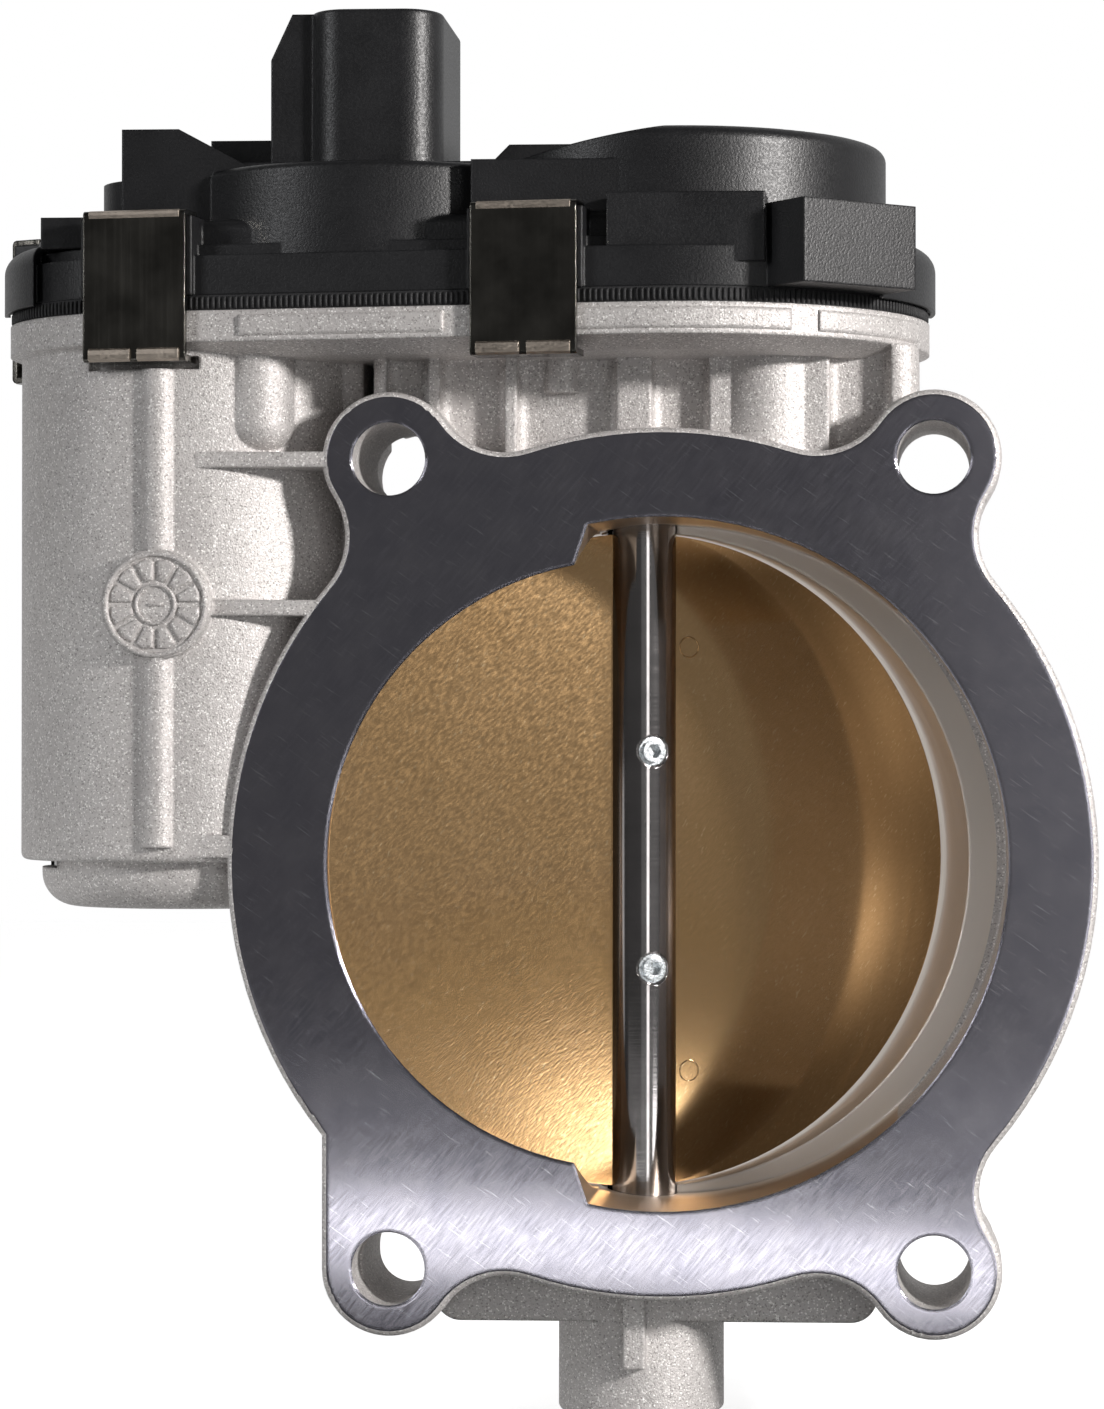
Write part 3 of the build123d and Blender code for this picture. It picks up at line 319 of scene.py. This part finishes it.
def layered(name, colour, gap, pitch, metallic=1.0, roughness=0.35):
    """Stacked laminations or wound wire, as lines across Z."""
    look = Look(name, colour, metallic, roughness)
    wave = look.math("SINE", look.math("MULTIPLY", look.axis("Z"), 2 * pi / pitch))
    shade = look.level(wave, -0.9, -0.2)
    look.feed("Base Color", look.mix(shade, gap, colour))
    look.feed("Roughness", look.level(look.noise(0.6), 0.3, 0.7, roughness * 0.8, roughness * 1.25))
    look.bump(shade, 0.06)
    return look


LOOKS = {
    "cast_aluminium": cast_aluminium(),
    "gold_plate": gold_plate(),
    "shaft_steel": turned_steel("shaft_steel", (0.36, 0.34, 0.335), 0.11),
    "zinc_steel": plain_metal("zinc_steel", (0.74, 0.78, 0.80), 0.24),
    "bearing_steel": turned_steel("bearing_steel", (0.62, 0.62, 0.64), 0.10),
    "cage_polymer": moulded("cage_polymer", (0.30, 0.22, 0.13), 0.45),
    "seal_rubber": moulded("seal_rubber", (0.012, 0.012, 0.013), 0.62),
    "can_steel": plain_metal("can_steel", (0.60, 0.61, 0.62), 0.30),
    "spring_steel": plain_metal("spring_steel", (0.36, 0.35, 0.35), 0.22),
    "bush_bronze": plain_metal("bush_bronze", (0.62, 0.42, 0.22), 0.38, 0.2, 0.02),
    "magnet_ferrite": plain_metal("magnet_ferrite", (0.09, 0.09, 0.095), 0.55, 0.2, 0.02),
    "core_steel": layered("core_steel", (0.42, 0.43, 0.45), (0.10, 0.10, 0.11), 0.5),
    "winding_copper": layered("winding_copper", (0.72, 0.30, 0.14), (0.16, 0.05, 0.03), 0.45),
    "commutator_copper": turned_steel("commutator_copper", (0.80, 0.42, 0.25), 0.22),
    "brush_carbon": plain_metal("brush_carbon", (0.05, 0.05, 0.055), 0.5),
    "gear_polymer": moulded("gear_polymer", (0.60, 0.56, 0.46), 0.42),
    "holder_polymer": moulded("holder_polymer", (0.03, 0.03, 0.032), 0.5),
    "cover_polymer": moulded("cover_polymer", (0.0065, 0.0066, 0.0075), 0.40, 0.3, 0.045, 0.45),
    "clip_steel": clip_steel(),
    # A light steel for the clip folds and lips: a painted highlight
    "painted_highlight_steel": plain_metal("painted_highlight_steel", (0.62, 0.54, 0.46), 0.45),
    "pin_brass": plain_metal("pin_brass", (0.80, 0.66, 0.36), 0.25),
    "board_laminate": moulded("board_laminate", (0.03, 0.16, 0.07), 0.35),
}


def finish_nodes():
    """Give every CAD node the look named by its material slot."""
    for node in NODES.values():
        for material_slot in node.material_slots:
            look = LOOKS[material_slot.material.name.split(".")[0]]
            material_slot.material = look.material


# --- detail pieces -------------------------------------------------------------

def new_piece(name, mesh, body, look):
    """An object of one mesh that rides on a body, with the finish of one of the looks."""
    piece = bpy.data.objects.new(name, mesh)
    bpy.context.scene.collection.objects.link(piece)
    piece.data.materials.append(LOOKS[look].material)
    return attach(piece, body)


def skin(mesh, rows, closed=False):
    """Join rows of points into a surface, and cap its ends unless the rows form a loop."""
    pairs = list(zip(rows, rows[1:]))
    if closed:
        pairs.append((rows[-1], rows[0]))
    for a, b in pairs:
        for k in range(len(a) - 1):
            mesh.faces.new((a[k], b[k], b[k + 1], a[k + 1]))
    if not closed:
        mesh.faces.new(rows[0])
        mesh.faces.new(rows[-1])


def ridge_profile(width, height):
    """Across a ridge with a rounded crest, from one foot to the other."""
    return [(-width / 2, -SINK), (-width / 3, height * 0.8), (0, height),
            (width / 3, height * 0.8), (width / 2, -SINK)]


def raised_ring(mesh, matrix, r, width, height, segments=64):
    """A ring with a rounded crest, standing on the XY plane of a matrix."""
    rows = []
    for step in range(segments):
        along = Vector((cos(2 * pi * step / segments), sin(2 * pi * step / segments), 0))
        rows.append([
            mesh.verts.new(matrix @ (along * (r + dx) + Vector((0, 0, dz))) * MM)
            for dx, dz in ridge_profile(width, height)
        ])
    skin(mesh, rows, closed=True)


def raised_bar(mesh, matrix, start, end, width, height):
    """A straight ridge between two points of a matrix's XY plane."""
    start = Vector((*start, 0))
    end = Vector((*end, 0))
    side = (end - start).normalized().cross(Vector((0, 0, 1)))
    skin(mesh, [
        [mesh.verts.new(matrix @ (p + side * dx + Vector((0, 0, dz))) * MM)
         for dx, dz in ridge_profile(width, height)]
        for p in (start, end)
    ])


def raised_pad(mesh, matrix, outline, height, shrink=0.85):
    """A pad on a matrix's XY plane, with sides that lean in to a smaller flat top."""
    middle = sum(outline, Vector((0, 0))) / len(outline)
    levels = [(1.0, -SINK), (1.0, height * 0.5), (shrink, height)]
    rows = [
        [mesh.verts.new(matrix @ (middle + (p - middle) * scale).to_3d() * MM
                        + matrix.to_3x3() @ Vector((0, 0, z)) * MM) for p in outline]
        for scale, z in levels
    ]
    for low, high in zip(rows, rows[1:]):
        for k in range(len(outline)):
            j = (k + 1) % len(outline)
            mesh.faces.new((low[k], low[j], high[j], high[k]))
    mesh.faces.new(rows[-1])


def case_walk(start, end, step, inset=0.0):
    """Points and outward directions along the gear case's outline, anticlockwise.

    Distances along it are in millimetres, from where the front side meets the larger end."""
    front = CASE_LEAN - CASE_SPREAD
    back = CASE_LEAN + CASE_SPREAD
    stretches = (
        (CASE_ARC_A, front, back, 0.0, 0.0),
        (CASE_SIDE, back, back, 0.0, 1.0),
        (CASE_ARC_B, back, front + 2 * pi, 1.0, 1.0),
        (CASE_SIDE, front, front, 1.0, 0.0),
    )
    count = round((end - start) / step)
    for k in range(count + 1):
        left = (start + (end - start) * k / count) % CASE_AROUND
        for length, angle, angle_end, share, share_end in stretches:
            if left <= length:
                break
            left -= length
        part = left / length
        angle += (angle_end - angle) * part
        share += (share_end - share) * part
        out = Vector((cos(angle), sin(angle)))
        a = Vector(CASE_A) + out * (CASE_A_R - inset)
        b = Vector(CASE_B) + out * (CASE_B_R - inset)
        yield a.lerp(b, share), out


def facing_out(point, out, z):
    """A matrix whose Z axis points outward from an upright wall, with its Y axis up."""
    up = Vector((0, 0, 1))
    ahead = out.to_3d()
    turn = Matrix((up.cross(ahead), up, ahead)).transposed().to_4x4()
    return Matrix.Translation((*point, z)) @ turn


def mesh_from(build, name):
    """A mesh made by a function that fills a bmesh."""
    work = bmesh.new()
    build(work)
    bmesh.ops.recalc_face_normals(work, faces=work.faces)
    mesh = bpy.data.meshes.new(name)
    work.to_mesh(mesh)
    work.free()
    return mesh


# Where the two straight sides face, and the outline's whole length
CASE_LEAN = atan2(CASE_A[1] - CASE_B[1], CASE_A[0] - CASE_B[0])
CASE_SPAN = (Vector(CASE_A) - Vector(CASE_B)).length
CASE_SPREAD = acos((CASE_B_R - CASE_A_R) / CASE_SPAN)
CASE_SIDE = sqrt(CASE_SPAN ** 2 - (CASE_A_R - CASE_B_R) ** 2)
CASE_ARC_A = 2 * CASE_SPREAD * CASE_A_R
CASE_ARC_B = (2 * pi - 2 * CASE_SPREAD) * CASE_B_R
CASE_AROUND = CASE_ARC_A + CASE_ARC_B + 2 * CASE_SIDE

# Each clip's outward angle, and its share of the way from the larger end to the smaller
CLIPS = (
    (CASE_LEAN - CASE_SPREAD, 0.22), (CASE_LEAN + CASE_SPREAD, 0.20),
    (radians(-99), 1.0), (radians(155), 1.0), (radians(97), 1.0), (radians(62), 0.0),
)
RIM_PANELS = ((-13.0, 20.0), (24.0, 45.0), (-52.0, -25.0), (66.0, 92.0), (150.0, 168.0))


def facing_engine(x, z, y):
    """A matrix whose XY plane lies on a face that looks along -Y."""
    return Matrix.Translation((x, y, z)) @ Matrix.Rotation(radians(90), 4, "X")


def date_disc_marks(work):
    """The casting clock on the motor casing: rings, twelve fields and a plain bar."""
    disc = facing_engine(DISC_X, DISC_Z, DISC_FRONT_Y)
    raised_ring(work, disc, 6.5, 0.8, 0.45)
    raised_ring(work, disc, 2.5, 0.5, 0.35)
    half = pi / DISC_FIELDS
    for field in range(DISC_FIELDS):
        middle = 2 * pi * (field + 0.5) / DISC_FIELDS
        corners = [(3.1, -0.62), (5.7, -0.8), (5.9, 0.0), (5.7, 0.8), (3.1, 0.62)]
        outline = [
            Vector((r * cos(middle + half * a), r * sin(middle + half * a))) for r, a in corners
        ]
        raised_pad(work, disc, outline, DISC_FIELD_H, 0.92)
    raised_bar(work, disc, (-DISC_BAR_HALF, 0), (DISC_BAR_HALF, 0), 0.5, DISC_FIELD_H)


def seal_ribs(work):
    """Fine upright ribs all round the cover's seal."""
    z = (SEAL_Z[0] + SEAL_Z[1]) / 2
    w, h = SEAL_RIB_HALF
    outline = [Vector(corner) for corner in ((-w, -h), (w, -h), (w, h), (-w, h))]
    for point, out in case_walk(0, CASE_AROUND, SEAL_RIB_PITCH, SEAL_RIB_INSET):
        raised_pad(work, facing_out(point, out, z), outline, SEAL_RIB_H, 0.6)


def rim_panels(work):
    """Raised panels on the rim between the cover clips."""
    low, high = RIM_Z
    profile = [(-SINK, low + 0.5), (0.3, low + 0.9), (0.35, high - 0.9), (-SINK, high - 0.5)]
    for start, end in RIM_PANELS:
        rows = [
            [work.verts.new(Vector((*(point + out * dx), z)) * MM) for dx, z in profile]
            for point, out in case_walk(start, end, 1.5)
        ]
        skin(work, rows)


def clip_edges(work):
    """Each cover clip's bent top edge and its rolled lower lip, parted in the middle."""
    half = CLIP_W / 2 - CLIP_EDGE_INSET
    for angle, share in CLIPS:
        out = Vector((cos(angle), sin(angle)))
        a = Vector(CASE_A) + out * CASE_A_R
        b = Vector(CASE_B) + out * CASE_B_R
        place = a.lerp(b, share) + out * CLIP_FACE
        lip = facing_out(place, out, CLIP_BOTTOM_Z + CLIP_LIP_Z)
        raised_bar(work, lip, (-half, 0), (-CLIP_LIP_GAP, 0), 1.8, 0.35)
        raised_bar(work, lip, (CLIP_LIP_GAP, 0), (half, 0), 1.8, 0.35)
        fold = facing_out(place - out * 0.25, out, CLIP_TOP_Z - 0.6)
        raised_bar(work, fold, (-half, 0), (half, 0), 1.2, 0.4)


def on_plate(x, z):
    """A matrix whose XY plane lies on the throttle plate's engine side."""
    turn = Matrix.Rotation(radians(REST_ANGLE), 4, "Z")
    return (
        Matrix.Translation((BORE_X, SHAFT_Y, 0)) @ turn
        @ Matrix.Translation((x, -PLATE_HALF_T, z)) @ Matrix.Rotation(radians(90), 4, "X")
    )


def plate_marks(work):
    """Two faint punch rings beside the shaft."""
    for z in (-PUNCH_Z, PUNCH_Z):
        raised_ring(work, on_plate(PUNCH_X, z), PUNCH_R, 0.25, 0.1, 40)


def detail_pieces():
    for name, build, body, look, slot in (
        ("date_disc_marks", date_disc_marks, "housing", "cast_aluminium", "cast_aluminium"),
        ("rim_panels", rim_panels, "housing", "cast_aluminium", "cast_aluminium"),
        ("seal_ribs", seal_ribs, "housing", "seal_rubber", "seal_rubber"),
        # The clip edges have a lighter steel than the clips: a painted highlight on the folds and
        # lips
        ("clip_edges", clip_edges, "housing", "painted_highlight_steel", "clip_steel"),
        ("plate_punch_marks", plate_marks, "throttle", "gold_plate", "gold_plate"),
    ):
        new_piece(name, mesh_from(build, name), body, look)


# --- stage ------------------------------------------------------------------------

CAMERA_PLACE = Vector((35.7, -521.5, 15.2)) * MM
CAMERA_AIM = Vector((7.8, 0.0, 20.4)) * MM
CAMERA_LENS = 104.3
CAMERA_SHIFT = -0.12
FLOOR_GAP = 0.2 * MM
FLOOR_X = 1.5
FLOOR_Y = (-0.25, 1.5)
FLOOR_GLOW = 0.75


def camera():
    data = bpy.data.cameras.new("camera")
    data.lens = CAMERA_LENS
    data.shift_x = CAMERA_SHIFT
    data.clip_start = 0.01
    view = bpy.data.objects.new("camera", data)
    bpy.context.scene.collection.objects.link(view)
    view.location = CAMERA_PLACE
    view.rotation_euler = (CAMERA_AIM - CAMERA_PLACE).to_track_quat("-Z", "Y").to_euler()
    bpy.context.scene.camera = view


def area_light(name, place, aim, size, power, colour, roll):
    data = bpy.data.lights.new(name, "AREA")
    data.shape = "RECTANGLE"
    data.size = size[0]
    data.size_y = size[1]
    data.energy = power
    data.color = colour
    light = bpy.data.objects.new(name, data)
    bpy.context.scene.collection.objects.link(light)
    light.location = place
    turn = (Vector(aim) - Vector(place)).to_track_quat("-Z", "Y")
    light.rotation_euler = (turn @ Quaternion((0, 0, 1), roll)).to_euler()
    light.visible_camera = False


WHITE = (1, 1, 1)

# Each light's name, place, aim, and width and height in metres, its power in watts, its colour, and
# its roll in degrees
LIGHTS = (
    ("key", (0.57, -0.40, 0.22), (-0.01, 0.0, 0.02), (0.07, 0.07), 6.5, (1.0, 0.97, 0.95), 0),
    ("left_soft", (-0.56, -0.33, 0.26), (0.0, 0.01, 0.0), (0.16, 0.30), 1.0, (0.97, 0.98, 1.0), 0),
    ("bounce", (-0.20, -0.02, -0.07), (-0.07, 0.02, 0.0), (0.18, 0.18), 0.08, WHITE, 0),
    ("front_card", (0.16, -0.90, 0.0), (0.0, 0.0, 0.0), (0.24, 0.6), 0.07, WHITE, 0),
    ("right_card", (0.44, -0.35, -0.03), (-0.01, 0.02, -0.01), (0.34, 0.26), 0.045, WHITE, 0),
    ("low_card", (0.19, -0.145, -0.064), (0.006, 0.026, -0.036), (0.07, 0.02), 0.026, WHITE, 0),
    ("tall_strip", (0.25, -0.522, -0.01), (-0.004, 0.02, 0.0), (0.09, 0.26), 0.24, WHITE, 0),
    ("low_strip", (-0.007, -0.1, -0.062), (-0.007, 0, -0.062), (0.11, 0.010), 0.011, WHITE, -3.8),
    ("low_glow", (-0.007, -0.16, -0.055), (-0.007, 0, -0.055), (0.3, 0.03), 0.006, WHITE, 0),
)


def lights():
    for *light, roll in LIGHTS:
        area_light(*light, radians(roll))


# How bright the studio is, from the camera's side (0) to behind the object (1)
STUDIO_LEVELS = ((0.0, 0.10), (0.12, 0.09), (0.28, 0.03), (0.55, 0.05), (0.80, 0.60))


def surroundings():
    """A studio that is bright behind the object, with dark sides and a dim front.

    Where the camera sees it directly, it is plain white on every side."""
    world = bpy.data.worlds.new("studio")
    world.use_nodes = True
    bpy.context.scene.world = world
    tree = world.node_tree
    back = tree.nodes["Background"]
    back.inputs["Color"].default_value = (1.0, 1.0, 1.0, 1.0)

    place = tree.nodes.new("ShaderNodeTexCoord")
    split = tree.nodes.new("ShaderNodeSeparateXYZ")
    depth = tree.nodes.new("ShaderNodeMapRange")
    depth.inputs["From Min"].default_value = -1.0
    levels = tree.nodes.new("ShaderNodeValToRGB")
    stops = levels.color_ramp.elements
    stops.remove(stops[0])
    for position, level in STUDIO_LEVELS:
        stop = stops.new(position)
        stop.color = (level, level, level, 1.0)
    stops.remove(stops[-1])
    path = tree.nodes.new("ShaderNodeLightPath")
    seen = tree.nodes.new("ShaderNodeMix")
    seen.inputs["B"].default_value = 1.0
    tree.links.new(place.outputs["Generated"], split.inputs["Vector"])
    tree.links.new(split.outputs["Y"], depth.inputs["Value"])
    tree.links.new(depth.outputs["Result"], levels.inputs["Fac"])
    tree.links.new(path.outputs["Is Camera Ray"], seen.inputs["Factor"])
    tree.links.new(levels.outputs["Color"], seen.inputs["A"])
    tree.links.new(seen.outputs["Result"], back.inputs["Strength"])


def floor():
    """A pale, faintly glowing floor that stops short of the camera.

    It doesn't light the object and doesn't show in its reflections."""
    low = CAD_BOX[0][2] - FLOOR_GAP

    def fill(work):
        front, back = FLOOR_Y
        corners = [(-FLOOR_X, front), (FLOOR_X, front), (FLOOR_X, back), (-FLOOR_X, back)]
        work.faces.new([work.verts.new((x, y, low)) for x, y in corners])

    stand = bpy.data.objects.new("floor", mesh_from(fill, "floor"))
    bpy.context.scene.collection.objects.link(stand)
    paint = Look("floor_paint", (0.86, 0.86, 0.86), 0.0, 0.6)
    paint.feed("Base Color", paint.mix(paint.noise(40), (0.84, 0.84, 0.84), (0.88, 0.88, 0.88)))
    paint.feed("Emission Color", (1.0, 1.0, 1.0, 1.0))
    paint.feed("Emission Strength", FLOOR_GLOW)
    stand.data.materials.append(paint.material)
    stand.visible_diffuse = False
    stand.visible_glossy = False


finish_nodes()
detail_pieces()
camera()
lights()
surroundings()
floor()
bpy.context.scene.view_settings.view_transform = "Standard"
